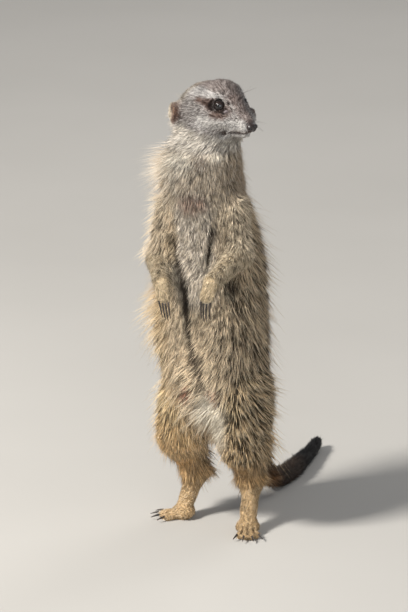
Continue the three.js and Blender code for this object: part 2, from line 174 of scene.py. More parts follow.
EYE = {side: middle(f"eye_{side}") for side in SIDES}
EYE_LINE = (EYE["left"] + EYE["right"]) / 2
LEFTWARD = unit(EYE["left"] - EYE["right"])


def head_axes():
    """The head's forward and up, from its eyes and nose."""
    to_nose = middle("nose") - EYE_LINE
    along = unit(to_nose - (to_nose @ LEFTWARD) * LEFTWARD)
    square = np.cross(along, LEFTWARD)
    drop = math.radians(NOSE_DROP)
    return along * math.cos(drop) + square * math.sin(drop), square * math.cos(drop) - along * math.sin(drop)


FORWARD, UPWARD = head_axes()


def head_places(points):
    """Points as left, forward and up from the middle between the eyes."""
    return (points - EYE_LINE) @ np.stack([LEFTWARD, FORWARD, UPWARD], 1)


def fold(places):
    """Places on the head with its right side laid over its left."""
    return np.concatenate([np.abs(places[:, :1]), places[:, 1:]], 1)


def gaze_of(side):
    """The way an eye looks."""
    return unit(SIDES[side] * 0.80 * LEFTWARD + 0.60 * FORWARD + 0.06 * UPWARD)


SEAT = {side: EYE[side] - EYE_SINK * gaze_of(side) for side in SIDES}


def eye_opening(points, side):
    """Each point's way and distance from the eyeball's middle, and how far outside the opening it lies:
    below 1 within the opening, 1 on its edge."""
    gaze = gaze_of(side)
    out = points - SEAT[side]
    way = unit(out)
    wide, tall = way @ unit(np.cross(UPWARD, gaze)), way @ UPWARD
    edge = np.hypot(wide / OPENING[0], tall / OPENING[1])
    return way, np.linalg.norm(out, axis=1), np.where(way @ gaze > 0, edge, 9.0)


# ---------------------------------------------------------------- meshes

def merged(*names, swell=0.0):
    """A bmesh of merged copies of CAD nodes, each swollen by so many millimetres."""
    whole = bmesh.new()
    for name in names:
        part = bmesh.new()
        part.from_mesh(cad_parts[name].data)
        bmesh.ops.remove_doubles(part, verts=part.verts, dist=1e-6)
        bmesh.ops.recalc_face_normals(part, faces=part.faces)
        part.normal_update()
        for v in part.verts:
            v.co += v.normal * swell * MM
        copy = bpy.data.meshes.new(name)
        part.to_mesh(copy)
        whole.from_mesh(copy)
        bpy.data.meshes.remove(copy)
        part.free()
    return whole


def stand(name, data):
    """A new object in the scene."""
    thing = bpy.data.objects.new(name, data)
    bpy.context.scene.collection.objects.link(thing)
    return thing


def piece(name, form, material):
    """An object of the animal made from a bmesh, riding on the one body."""
    mesh = bpy.data.meshes.new(name)
    form.to_mesh(mesh)
    form.free()
    mesh.shade_smooth()
    mesh.materials.append(material)
    thing = stand(name, mesh)
    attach(thing, "root")
    return thing


def paint(mesh, colours):
    """Stores one linear colour for each vertex as the attribute Tint."""
    layer = mesh.color_attributes.new("Tint", "FLOAT_COLOR", "POINT")
    rgba = np.concatenate([colours, np.ones((len(colours), 1))], 1)
    layer.data.foreach_set("color", rgba.astype(np.float32).ravel())


# ---------------------------------------------------------------- materials

class Finish:
    """A node material for one of the animal's surfaces."""

    def __init__(self, name, roughness, specular=0.4):
        self.material = bpy.data.materials.new(name)
        self.material.use_nodes = True
        self.tree = self.material.node_tree
        self.shader = self.tree.nodes["Principled BSDF"]
        self.shader.inputs["Roughness"].default_value = roughness
        self.shader.inputs["Specular IOR Level"].default_value = specular
        self.place = self.tree.nodes.new("ShaderNodeTexCoord").outputs["Object"]

    def add(self, kind, **inputs):
        node = self.tree.nodes.new(kind)
        for key, value in inputs.items():
            socket = node.inputs[key.replace("_", " ")]
            if isinstance(value, bpy.types.NodeSocket):
                self.tree.links.new(value, socket)
            else:
                socket.default_value = value
        return node

    def noise(self, scale, detail=3.0, stretch=(1, 1, 1)):
        place = self.add("ShaderNodeMapping", Vector=self.place, Scale=stretch).outputs["Vector"]
        return self.add("ShaderNodeTexNoise", Vector=place, Scale=scale, Detail=detail).outputs["Fac"]

    def spread(self, value, low, high):
        """The value's 0.3 to 0.7 laid out from low to high."""
        node = self.add("ShaderNodeMapRange", Value=value, From_Min=0.3, From_Max=0.7,
                        To_Min=low, To_Max=high)
        return node.outputs["Result"]

    def mix(self, blend, share, one, other):
        node = self.tree.nodes.new("ShaderNodeMix")
        node.data_type, node.blend_type = "RGBA", blend
        for socket, value in ((node.inputs[0], share), (node.inputs[6], one), (node.inputs[7], other)):
            if isinstance(value, bpy.types.NodeSocket):
                self.tree.links.new(value, socket)
            else:
                socket.default_value = value
        return node.outputs[2]

    def tint(self):
        node = self.tree.nodes.new("ShaderNodeAttribute")
        node.attribute_name = "Tint"
        return node.outputs["Color"]

    def colour(self, socket):
        self.tree.links.new(socket, self.shader.inputs["Base Color"])

    def mottle(self, value, one, other):
        """The base colour laid out between two tones."""
        self.colour(self.mix("MIX", self.spread(value, 0.0, 1.0), (*tone(*one), 1), (*tone(*other), 1)))

    def shaded_tint(self, value, low, high):
        """The base colour: the tint times a shade from low to high, given for each channel."""
        channels = {key: self.spread(value, *ends) for key, *ends in zip(("Red", "Green", "Blue"), low, high)}
        shade = self.add("ShaderNodeCombineColor", **channels).outputs[0]
        self.colour(self.mix("MULTIPLY", 1.0, self.tint(), shade))

    def rough(self, socket):
        self.tree.links.new(socket, self.shader.inputs["Roughness"])

    def bump(self, height, strength, distance):
        node = self.add("ShaderNodeBump", Height=height, Strength=strength, Distance=distance * MM)
        self.tree.links.new(node.outputs["Normal"], self.shader.inputs["Normal"])


def skin_finish():
    """Skin under the coat, in the coat's own markings, with the nap of its shortest hairs."""
    finish = Finish("skin_under_coat", 0.78, 0.25)
    nap = finish.noise(1500, 4)
    finish.shaded_tint(nap, (0.7, 0.7, 0.68), (1.2, 1.2, 1.18))
    finish.rough(finish.spread(finish.noise(700), 0.7, 0.88))
    finish.bump(nap, 0.5, 0.3)
    return finish.material


def hair_finish():
    """Hair: the tuft's own colour, a little uneven along its length, with a soft gloss."""
    finish = Finish("meerkat_hair", 0.6, 0.22)
    finish.shaded_tint(finish.noise(2400, 2), (0.82, 0.82, 0.82), (1.16, 1.14, 1.12))
    finish.rough(finish.spread(finish.noise(500), 0.48, 0.66))
    return finish.material


def nose_finish():
    """The damp bare nose: dark brown leather with fine pebbles."""
    finish = Finish("nose_leather", 0.34, 0.55)
    pebbles = finish.add("ShaderNodeTexVoronoi", Vector=finish.place, Scale=1500.0).outputs["Distance"]
    finish.mottle(finish.noise(420), (48, 35, 31), (20, 16, 15))
    finish.rough(finish.spread(pebbles, 0.28, 0.46))
    finish.bump(pebbles, 0.5, 0.18)
    finish.shader.inputs["Coat Weight"].default_value = 0.35
    finish.shader.inputs["Coat Roughness"].default_value = 0.2
    return finish.material


def eye_finish():
    """The eye: brown iris and dark pupil under a wet clear layer."""
    finish = Finish("eye_wet", 0.18, 0.3)
    finish.colour(finish.mix("MULTIPLY", 0.5, finish.tint(), finish.add(
        "ShaderNodeCombineColor", Red=finish.spread(finish.noise(1900), 0.6, 1.5),
        Green=finish.spread(finish.noise(1900), 0.6, 1.4), Blue=1.0).outputs[0]))
    finish.rough(finish.spread(finish.noise(900), 0.12, 0.22))
    finish.shader.inputs["Coat Weight"].default_value = 0.6
    finish.shader.inputs["Coat Roughness"].default_value = 0.03
    return finish.material


def lid_finish():
    """The bare dark rim of the eyelids."""
    finish = Finish("lid_rim", 0.6, 0.3)
    finish.mottle(finish.noise(800), (18, 14, 13), (36, 28, 26))
    finish.rough(finish.spread(finish.noise(1300), 0.5, 0.7))
    finish.bump(finish.noise(2200), 0.4, 0.1)
    return finish.material


def claw_finish():
    """Horn: near black, paler and duller where it is worn, with growth lines."""
    finish = Finish("claw_horn", 0.38, 0.5)
    grain = finish.noise(650, 3, (1, 1, 0.35))
    finish.mottle(grain, (24, 20, 19), (74, 64, 56))
    finish.rough(finish.spread(grain, 0.26, 0.5))
    finish.bump(grain, 0.35, 0.12)
    return finish.material


def floor_finish():
    finish = Finish("studio_floor", 0.9, 0.2)
    finish.mottle(finish.noise(3), (178, 175, 170), (184, 181, 176))
    return finish.material


# ---------------------------------------------------------------- the skin

def skin_form():
    """The flesh nodes run into one closed mesh of even fineness."""
    raw = bpy.data.meshes.new("raw_skin")
    form = merged(*FLESH, swell=SEAL)
    form.to_mesh(raw)
    form.free()
    lump = stand("raw_skin", raw)
    remesh = lump.modifiers.new("one_skin", "REMESH")
    remesh.mode, remesh.voxel_size = "VOXEL", VOXEL * MM
    ready = lump.evaluated_get(bpy.context.evaluated_depsgraph_get())
    form = bmesh.new()
    form.from_mesh(ready.to_mesh())
    ready.to_mesh_clear()
    bpy.data.objects.remove(lump)
    return form


class Surface:
    """The skin's vertices as arrays, with what grows where."""

    def __init__(self, form):
        form.verts.ensure_lookup_table()
        self.points = np.array([v.co for v in form.verts]) / MM
        self.edges = np.array([[v.index for v in e.verts] for e in form.edges])
        self.form = form

    def relax(self, values, share, rounds):
        """Each vertex's values drawn towards its neighbours' mean, as far as its share says."""
        count = len(values)
        one, other = self.edges.T
        degree = np.bincount(self.edges.ravel(), minlength=count)[:, None]
        share = np.broadcast_to(share, (count,))[:, None]
        for _ in range(rounds):
            around = np.stack([
                np.bincount(one, column[other], count) + np.bincount(other, column[one], count)
                for column in values.T], 1)
            values = values + share * (around / degree - values)
        return values

    def write(self):
        for v, place in zip(self.form.verts, self.points * MM):
            v.co = place
        self.form.normal_update()

    def normals(self):
        self.write()
        return np.array([v.normal for v in self.form.verts])


def node_shares(points, relax):
    """How much each skin vertex belongs to each flesh node: 1 well inside one, shared near a parting."""
    corners, faces, owner = [], [], []
    for index, name in enumerate(FLESH):
        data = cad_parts[name].data
        start = len(corners)
        corners += [v.co / MM for v in data.vertices]
        for polygon in data.polygons:
            faces.append([start + i for i in polygon.vertices])
            owner.append(index)
    tree = BVHTree.FromPolygons(corners, faces)
    shares = np.zeros((len(points), len(FLESH)))
    for row, point in enumerate(points):
        shares[row, owner[tree.find_nearest(Vector(point))[2]]] = 1
    return relax(shares, 0.8, 14)


def share_of(shares, *names):
    """How much each vertex belongs to the nodes whose names start so."""
    return shares[:, [i for i, name in enumerate(FLESH) if name.startswith(names)]].sum(1)


def for_nodes(table):
    """The table's row for each flesh node, under the node's name or that name without its side."""
    return np.array([table[name if name in table else name.rsplit("_", 1)[0]] for name in FLESH])


def fringe_share(points, shares):
    """1 where long hair hangs from the rear of the thighs over the shanks."""
    rear = ease(-72, -54, points[:, 1])
    return share_of(shares, "thigh", "shank") * rear * near_band(points[:, 2], 36, 66, 12)


def coat_values(points, shares):
    """Each COAT value at the given points, smooth across the partings, with its changes within a part."""
    depth, long, wide, root, tip, thick = (shares @ for_nodes(COAT)).T
    y, z = points.T[1:]
    forward, up = head_places(points).T[1:]
    head, trunk = share_of(shares, "head"), share_of(shares, "trunk")
    nape = np.maximum(ease(-26, -42, forward), ease(-17, -28, up + 0.45 * forward)) * head
    snout = ease(-2, 12, forward) * (1 - nape) * head
    long *= (1 + 1.5 * nape) * (1 - 0.45 * snout)
    depth *= (1 + 1.4 * nape) * (1 - 0.75 * snout)
    thick *= (1 - 0.45 * nape) * (1 + 0.2 * snout)
    root += 6 * nape - 8 * snout
    chest = near_line(points, *CHEST, 26, 0.45) * trunk
    long *= 1 - 0.42 * chest
    depth *= 1 - 0.35 * chest
    wide *= 1 - 0.12 * chest
    thick *= 1 + 0.3 * chest
    fringe = fringe_share(points, shares)
    low = (1 - ease(24, 95, z)) * share_of(shares, "shank", "thigh") * (1 - 0.8 * fringe)
    long *= 1 - 0.76 * low
    depth *= 1 - 0.8 * low
    thick *= 1 + 1.1 * low
    wide *= 1 - 0.2 * low
    long *= 1 + 0.9 * fringe
    root += 8 * fringe
    long *= 1 + 0.2 * trunk * ease(-5, 25, y - middle("trunk")[1])
    depth *= 1 - 0.25 * bare_share(points)
    thick *= 1 - 0.6 * bare_share(points)
    return dict(depth=depth, long=long, wide=wide, root=root, tip=tip, thick=thick)


# ---------------------------------------------------------------- markings

FACE_GREY = tone(148, 140, 136)
CROWN_BROWN = tone(122, 107, 102)
BROW_WHITE = tone(196, 192, 190)
PATCH_DARK = tone(44, 31, 26)
PATCH_BROWN = tone(112, 88, 78)
BRIDGE_TAN = tone(120, 98, 90)
CHEEK_WHITE = tone(222, 218, 214)
INNER_CORNER = tone(126, 112, 116)
MOUTH_BROWN = tone(66, 43, 33)
THROAT_GREY = tone(232, 224, 212)
EAR_BROWN = tone(126, 102, 90)
EAR_HOLLOW = tone(92, 68, 58)
EAR_FOLD = tone(150, 118, 94)
EAR_RIM = tone(222, 208, 186)
NECK_CREAM = tone(240, 232, 216)
NECK_SAND = tone(206, 190, 168)
SHOULDER_SAND = tone(212, 195, 170)
CHEST_GREY = tone(236, 224, 208)
WHORL_BROWN = tone(150, 116, 96)
BELLY_SAND = tone(250, 228, 196)
ARM_CREAM = tone(216, 195, 163)
HAND_CREAM = tone(222, 200, 165)
THIGH_GOLD = tone(242, 214, 166)
SHANK_ORANGE = tone(236, 188, 124)
FOOT_CREAM = tone(212, 180, 136)
GROIN_CREAM = tone(255, 246, 228)
BARE_PINK = tone(166, 122, 100)
BACK_AGOUTI = tone(162, 140, 112)
BAND_DARK = tone(92, 72, 54)
# A painted shade: the dark of the shadows between the arms and the belly, and between the digits.
PAINTED_SHADE_DARK = tone(50, 38, 29)
# The tail's dark brown: partly its own colour, partly a painted shadow of the body on the tail lying on the
# floor.
TAIL_BROWN_AND_SHADOW = tone(70, 57, 48)
TAIL_TAWNY = tone(150, 122, 90)
NAPE_BROWN = tone(148, 132, 110)
SIDE_SAND = tone(222, 198, 160)
TAIL_ORANGE = tone(190, 134, 78)
TIP_BLACK = tone(15, 12, 12)
CREAM_TIP = tone(250, 238, 212)
SILVER_TIP = tone(238, 235, 232)
NECK_SHADE = tone(150, 136, 124)
THIGH_ORANGE = tone(240, 198, 142)
# Lines of painted shadow cast by the arms on the belly: start, end and radius.
ARM_SHADOW_LINES = (
    ((-23, -77, 196), (-15, -87, 180), 3.6), ((-15, -87, 180), (-9, -91.5, 165), 4.2),
    ((-9, -91.5, 165), (-4.2, -94.6, 136), 2.8), ((-4.2, -94.6, 136), (3.9, -91, 102), 1.9),
    ((9, -81, 204), (7.5, -86.5, 184), 1.8), ((22, -78, 186), (24, -78, 166), 6.5))
# Lines of painted shade under the jaw, down the throat: start, end and radius.
THROAT_SHADE_LINES = (
    ((-6, -85, 264), (2, -86, 258), 3.4), ((2, -86, 258), (1.3, -86, 249), 4.4),
    ((10, -81, 263), (21, -62, 257), 3.2))
# On the folded head: strength, the line's start and end, its radius, the share that fades, and its tone.
FACE_LINES = (
    (1, (9, 3, -20.5), (0, 18, -17.5), 2.6, 0.5, CHEEK_WHITE),
    (1, (16.8, 0, -4.6), (13.4, 6, -5.4), 2.6, 0.9, PATCH_BROWN),
    (1, (15, -4, 1.4), (17.6, -14.5, 3.2), 2.3, 0.9, PATCH_BROWN),
    (1, (15.4, -4, 0.8), (16.6, -8, 1.6), 1.2, 0.5, PATCH_DARK),
    (0.6, (15, -3.6, 0.8), (10.8, 6, -1.6), 4.8, 0.3, PATCH_BROWN),
    (1, (15, -3.2, 0.6), (11.0, 5.6, -1.2), 3.0, 0.3, PATCH_DARK))
BARE_SPOTS = ((-10, -89, 95), (9.5, -87.8, 93.5))

NODE_TONES = {
    "head": FACE_GREY, "ear": EAR_BROWN, "neck": NECK_SAND, "trunk": BELLY_SAND,
    "upper_arm": SHOULDER_SAND, "forearm": ARM_CREAM, "hand": HAND_CREAM,
    "thigh": THIGH_GOLD, "shank": SHANK_ORANGE, "foot": FOOT_CREAM,
    # The tail's base tone is part its own brown and part painted shadow.
    "tail_base": TAIL_BROWN_AND_SHADOW, "tail_middle": TAIL_BROWN_AND_SHADOW, "tail_tip": TIP_BLACK,
}


def over(under, share, colour):
    """A colour laid over others, as much as share says at each point."""
    return under + share[:, None] * (colour - under)


def markings(points, shares):
    """The animal's colour at each point of its skin."""
    colours = body_markings(points, shares, shares @ for_nodes(NODE_TONES))
    return head_markings(points, share_of(shares, "head"), share_of(shares, "ear"), colours)


def body_markings(points, shares, colours):
    def lay(share, colour):
        nonlocal colours
        colours = over(colours, share, colour)

    x, y, z = points.T
    trunk = share_of(shares, "trunk", "neck")
    centre_x, centre_y = middle("trunk")[:2]
    behind = ease(-18, 22, y - centre_y)
    wobble = 7 * ripple(points, 60, 3)
    lay(trunk * ease(218, 236, z + wobble) * (1 - behind), NECK_SAND)
    for centre, radii in (((-16, -82, 254), (11, 16, 13)), ((-26, -76, 229), (9, 14, 11)),
                          ((12.5, -79.5, 255), (7, 9, 4))):
        lay(trunk * near_point(points, centre, radii, 0.6), NECK_CREAM)
    lay(trunk * ease(196, 216, z + wobble) * (1 - ease(222, 238, z + wobble)), SHOULDER_SAND)
    lay(trunk * near_line(points, (-4, -88, 210), (-1, -91, 172), 17, 0.35), CHEST_GREY)
    lay(trunk * 0.8 * near_point(points, (-5, -87, 222), (12, 9, 6)), WHORL_BROWN)
    # Painted shade under the jaw.
    for start, end, radius in THROAT_SHADE_LINES:
        lay(0.75 * trunk * near_line(points, start, end, radius, 0.7), NECK_SHADE)
    lay(trunk * ease(14, 30, -x) * (1 - ease(196, 210, z)), SIDE_SAND)
    flank = trunk * ease(10, 32, (x - centre_x) + 0.35 * (y - centre_y + 25))
    flank = np.maximum(flank, trunk * ease(20, 40, centre_x - x + 0.5 * (y - centre_y + 20)))
    lay(flank * 0.8, BACK_AGOUTI)
    lay(trunk * behind, BACK_AGOUTI)
    bands = ease(0.2, 0.8, 0.5 + 0.5 * np.sin(2 * math.pi * (z + 3 * ripple(points, 30, 4)) / 13))
    low_back = behind * ease(84, 100, z) * (1 - ease(176, 200, z)) * ease(-5, 15, y - centre_y)
    lay(trunk * low_back * bands * 0.75, BAND_DARK)
    thigh, shank = share_of(shares, "thigh"), share_of(shares, "shank")
    outer = (thigh + shank) * ease(-6, 22, y - centre_y + 24 + 0.7 * (x - centre_x))
    outer = outer * ease(34, 62, z + 30 * fringe_share(points, shares))
    lay(outer * 0.8, BACK_AGOUTI)
    lay(0.8 * thigh * (1 - ease(52, 88, z)) * (1 - 0.8 * outer), THIGH_ORANGE)
    lay(groin_share(points) * (trunk + thigh), GROIN_CREAM)
    lay((trunk + thigh) * bare_share(points), BARE_PINK)
    # Painted shadow of the arms on the belly.
    lay(trunk * arm_shadow(points) * 0.95, PAINTED_SHADE_DARK)
    lay(shank * (1 - ease(22, 42, z)), FOOT_CREAM)
    # Painted shade in the gaps between the fingers and between the toes.
    lay(share_of(shares, "hand", "foot") * 0.85 * digit_gaps(points), PAINTED_SHADE_DARK)
    tail = share_of(shares, "tail")
    # Tawny only where the tail rises. Low on the floor it keeps its dark brown, part own colour and part
    # painted shadow.
    lay(tail * ease(8, 52, z), TAIL_TAWNY)
    lay(tail * (1 - ease(6, 24, z)) * (1 - ease(-6, 22, y)), TAIL_ORANGE)
    tip_start = middle("tail_tip")[1] - 34
    return over(colours, tail * ease(tip_start - 10, tip_start + 12, y), TIP_BLACK)


def groin_share(points):
    """1 on the pale skin between the thighs."""
    return near_point(points, (6.5, -84.5, 76), (12, 16, 22)) * (1 - ease(-70, -50, points[:, 1]))


def bare_share(points):
    """1 on the two thinly haired spots of the lower belly."""
    return np.max([near_point(points, spot, (5, 9, 5)) for spot in BARE_SPOTS], axis=0)


def digit_gaps(points):
    """1 in the gaps between the toes and between the fingers."""
    share = np.zeros(len(points))
    for side in SIDES:
        for kind, limb, start_share in (("hind", "foot", 0.42), ("fore", "hand", 0.35)):
            middles = [middle(f"claw_{kind}_{side}_{digit}") for digit in range(1, 5)]
            base = middle(f"{limb}_{side}") * (1, 1, 0.5 if kind == "hind" else 1)
            for one, other in zip(middles, middles[1:]):
                end = (one + other) / 2 + (0, 0, 1.5)
                share = np.maximum(share, near_line(points, base + start_share * (end - base), end, 0.9, 0.6))
    return share


def arm_shadow(points):
    """1 between the arms and the belly, where the arms cast a painted shadow and the trunk's coat parts."""
    share = np.zeros(len(points))
    for start, end, radius in ARM_SHADOW_LINES:
        share = np.maximum(share, near_line(points, start, end, radius, 0.6))
    return share


def mouth_line(folded):
    """1 on the line of the mouth, from its corner round the front of the muzzle."""
    side = near_line(folded, (10, 3.4, -18.3), (5.4, 13.5, -16.9), 1.9, 0.5)
    return np.maximum(side, near_line(folded, (5.4, 13.5, -16.9), (0, 21, -15), 1.6, 0.5))


def head_markings(points, head, ear, colours):
    def lay(share, colour):
        nonlocal colours
        colours = over(colours, share, colour)

    left, forward, up = head_places(points).T
    folded = fold(head_places(points))
    lay(head * (1 - ease(-24, -17, up + 0.25 * forward)), THROAT_GREY)
    crown = head * ease(6, 11, up) * (1 - ease(10, 16, np.abs(left)))
    lay(crown * 0.85, CROWN_BROWN)
    lay(0.8 * head * near_line(folded, (3, -20, 14), (2, 4, 6), 5), CROWN_BROWN)
    lay(0.7 * head * near_line(folded, (0, 4, 4), (0, 18, -5), 5), BRIDGE_TAN)
    brow = near_line(folded, (12.5, -28, 7), (14.5, -13, 7.6), 3.8)
    brow = np.maximum(brow, near_line(folded, (14.5, -13, 7.6), (11.6, -1, 5.4), 2.4))
    lay(head * brow, BROW_WHITE)
    cheek = near_line(folded, (19, -8, -10.5), (16, 2, -11), 4)
    cheek = np.maximum(cheek, near_line(folded, (16, 2, -11), (5.5, 17, -11), 3.6))
    lay(head * cheek * 0.9, CHEEK_WHITE)
    for strength, start, end, radius, soft, shade in FACE_LINES:
        lay(strength * head * near_line(folded, start, end, radius, soft), shade)
    lay(head * near_point(folded, (6.9, 5, 2.4), (1.3, 1.3, 1.3)), PATCH_DARK)
    lay(head * near_point(folded, (10.2, 6.4, -2.0), (1.4, 1.5, 1.2)), INNER_CORNER)
    lay(head * mouth_line(folded), MOUTH_BROWN)
    nape = ease(24, 40, 0.4 * up - forward)
    lay(head * 0.85 * nape, NAPE_BROWN)
    hollow = near_point(folded, (26, -27, -8.2), (4, 4.2, 5.6))
    lay(ear * hollow, EAR_HOLLOW)
    lay(ear * 0.7 * near_line(folded, (26, -28.5, -4.5), (25.5, -29, -10), 1.2), EAR_FOLD)
    return over(colours, ear * (1 - ease(-36, -33, forward - 0.12 * np.abs(up + 9))), EAR_RIM)


# ---------------------------------------------------------------- the lie of the coat

def lie_of_coat(points, normals, shares, relax):
    """The way the hair points at each skin vertex, along the skin."""
    x, y, z = points.T
    zero = np.zeros(len(points))
    down = np.stack([zero, zero, zero - 1], 1)
    flow = np.zeros_like(points)

    def lay(names, way):
        nonlocal flow
        flow = flow + share_of(shares, *names)[:, None] * unit(np.broadcast_to(way, points.shape))

    left, _, up = head_places(points).T
    sink = 0.25 + 0.75 * (1 - ease(-14, 2, up))
    lay(("head",), -FORWARD - sink[:, None] * 0.55 * UPWARD + np.sign(left)[:, None] * 0.12 * LEFTWARD)
    lay(("ear",), UPWARD * 0.4 - FORWARD)
    lay(("neck",), down + np.stack([zero, 0.006 * (y - middle("neck")[1]), zero], 1))
    centre_x = middle("trunk")[0]
    inward = -0.010 * (x - centre_x) * (1 - ease(-70, -40, y))
    sweep = -1.1 * ease(0, 1, (172 - z) / 40) * (1 - ease(-82, -58, y)) * ease(-22, 2, x)
    lay(("trunk",), down + np.stack([inward + sweep + 0.25 * ripple(points, 70, 11),
                                     0.12 + 0.2 * ripple(points, 60, 12), zero], 1))
    for side in SIDES:
        upper, lower, hand = (middle(f"{part}_{side}") for part in ("upper_arm", "forearm", "hand"))
        lay((f"upper_arm_{side}",), (0.2 * SIDES[side], 0.1, -1.0))
        lay((f"forearm_{side}",), unit(hand - upper) + np.array([0, 0, -0.9]))
        lay((f"hand_{side}",), unit(hand - lower) + np.array([0, 0, -0.5]))
        rear = ease(-75, -50, y)[:, None]
        back_and_down = np.array([0, 0.22, -1]) + rear * (0.12 * SIDES[side], 0.5, 0)
        lay((f"thigh_{side}",), back_and_down)
        lay((f"shank_{side}",), back_and_down)
        toes = middle(f"claw_hind_{side}_2") - middle(f"shank_{side}")
        ahead = 1 - ease(8, 24, z)
        toward = np.array([toes[0], toes[1], 0])
        lay((f"foot_{side}",), down + ahead[:, None] * 3 * unit(toward))
    lying = 1 - ease(9, 30, z)
    along_floor = unit(middle("tail_tip") - middle("tail_middle")) * [1, 1, 0.2]
    lay(("tail",), unit(np.array([0.1, 0.3, -1])) * (1 - lying)[:, None] + along_floor * lying[:, None])
    for _ in range(3):
        flow = relax(unit(flat_on(flow, normals)), 0.7, 4)
    return unit(flat_on(flow, normals))


# ---------------------------------------------------------------- tufts

def tuft_arrays(roots, normals, flow, size, lean, shades, places, rings):
    """Closed three-sided locks: vertices, faces, colours and map places.
    size is length and width; lean the angles at root and tip; shades the colours at root, middle and tip."""
    count = len(roots)
    side = unit(np.cross(normals, flow))
    vertices = np.zeros((count, rings * 3 + 1, 3))
    tints = np.zeros((count, rings * 3 + 1, 3))
    spots = np.zeros((count, rings * 3 + 1, 2))
    point = roots - (0.1 if rings == 1 else 0.3) * normals
    for ring in range(rings + 1):
        along = ring / rings
        bend = along if rings > 1 else 0.35 + 0.4 * ease(3, 6, size[:, :1])
        angle = np.radians(lean[:, :1] + (lean[:, 1:] - lean[:, :1]) * bend)
        way = np.cos(angle) * flow + np.sin(angle) * normals
        if ring:
            point = point + way * size[:, :1] / rings
        lift = unit(np.cross(way, side))
        width = size[:, 1:] * (1 - 0.25 * along) / 2
        corners = (side * width, lift * width * 0.7, -side * width) if ring < rings else (0 * side,)
        lower, upper = (shades[:, 0], shades[:, 1]) if along < 0.5 else (shades[:, 1], shades[:, 2])
        tint = lower + (upper - lower) * (along * 2 % 1 if ring < rings else 1)
        for turn, corner in enumerate(corners):
            vertices[:, ring * 3 + turn] = point + corner
            tints[:, ring * 3 + turn] = tint
            across = (turn - 1) * PATCH / 2 if ring < rings else 0
            spots[:, ring * 3 + turn] = places + [across, (along - 0.5) * PATCH + 0.1 * PATCH * (turn == 1)]
    faces = [(0, 2, 1)]
    for ring in range(rings):
        for i, j in ((0, 1), (1, 2), (2, 0)):
            a, b = ring * 3 + i, ring * 3 + j
            if ring < rings - 1:
                faces += [(a, b, b + 3), (a, b + 3, a + 3)]
            else:
                faces.append((a, b, rings * 3))
    offsets = np.arange(count)[:, None, None] * (rings * 3 + 1)
    faces = (offsets + np.array(faces)).reshape(-1, 3)
    return vertices.reshape(-1, 3), faces, tints.reshape(-1, 3), spots.reshape(-1, 2)



def coat_piece(name, material, parts):
    """One object of joined tufts, with its colours and its map."""
    vertices, faces, tints, spots, start = [], [], [], [], 0
    for v, f, t, s in parts:
        vertices.append(v)
        faces.append(f + start)
        tints.append(t)
        spots.append(s)
        start += len(v)
    vertices, faces = np.concatenate(vertices), np.concatenate(faces)
    tints, spots = np.concatenate(tints), np.concatenate(spots)
    vertices[:, 2] = np.maximum(vertices[:, 2], HAIR_FLOOR)
    mesh = bpy.data.meshes.new(name)
    mesh.vertices.add(len(vertices))
    mesh.vertices.foreach_set("co", (vertices * MM).astype(np.float32).ravel())
    mesh.loops.add(faces.size)
    mesh.loops.foreach_set("vertex_index", faces.astype(np.int32).ravel())
    mesh.polygons.add(len(faces))
    mesh.polygons.foreach_set("loop_start", np.arange(0, faces.size, 3, dtype=np.int32))
    mesh.update(calc_edges=True)
    mesh.shade_smooth()
    layer = mesh.uv_layers.new(name="OFBake")
    layer.data.foreach_set("uv", np.clip(spots, 0.001, 0.999)[faces.ravel()].astype(np.float32).ravel())
    paint(mesh, np.clip(tints, 0, 1))
    mesh.materials.append(material)
    coat = stand(name, mesh)
    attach(coat, "root")


# Which coat piece clothes which nodes, and a slot name for each piece that nothing here uses.
PIECES = {
    "coat_head_left": ("coat_grey", ("head", "ear_left")),
    "coat_head_right": ("coat_grey", ("head", "ear_right")),
    "coat_neck": ("coat_grey", ("neck",)),
    "coat_chest": ("coat_sand", ("trunk",)),
    "coat_belly": ("coat_sand", ("trunk",)),
    "coat_flank_left": ("coat_sand", ("trunk",)),
    "coat_flank_right": ("coat_sand", ("trunk",)),
    "coat_back_high": ("coat_sand", ("trunk",)),
    "coat_back_low": ("coat_sand", ("trunk",)),
    "coat_arms": ("coat_cream", ("upper_arm", "forearm", "hand")),
    "coat_thigh_left": ("coat_gold", ("thigh_left",)),
    "coat_thigh_right": ("coat_gold", ("thigh_right",)),
    "coat_feet": ("coat_gold", ("shank", "foot")),
    "coat_tail": ("coat_dark", ("tail_base", "tail_middle", "tail_tip")),
}


def piece_of(points, owner):
    """The name of the coat piece that each root belongs to."""
    centre = middle("trunk")
    turn = np.degrees(np.arctan2(points[:, 0] - centre[0], -(points[:, 1] - centre[1])))
    on_left = head_places(points)[:, 0] > 0
    names = np.empty(len(points), object)
    for name, (_, nodes) in PIECES.items():
        names[[FLESH[i].startswith(nodes) for i in owner]] = name
    trunk = np.array([FLESH[i] == "trunk" for i in owner])
    front = trunk & (np.abs(turn) < 48)
    names[front & (points[:, 2] > 158)] = "coat_chest"
    names[front & (points[:, 2] <= 158)] = "coat_belly"
    names[trunk & (turn >= 48)] = "coat_flank_left"
    names[trunk & (turn <= -48)] = "coat_flank_right"
    names[trunk & (np.abs(turn) > 122)] = "coat_back_low"
    names[trunk & (np.abs(turn) > 122) & (points[:, 2] > 150)] = "coat_back_high"
    head = np.array([FLESH[i] in ("head", "ear_left", "ear_right") for i in owner])
    names[head & on_left] = "coat_head_left"
    names[head & ~on_left] = "coat_head_right"
    return names


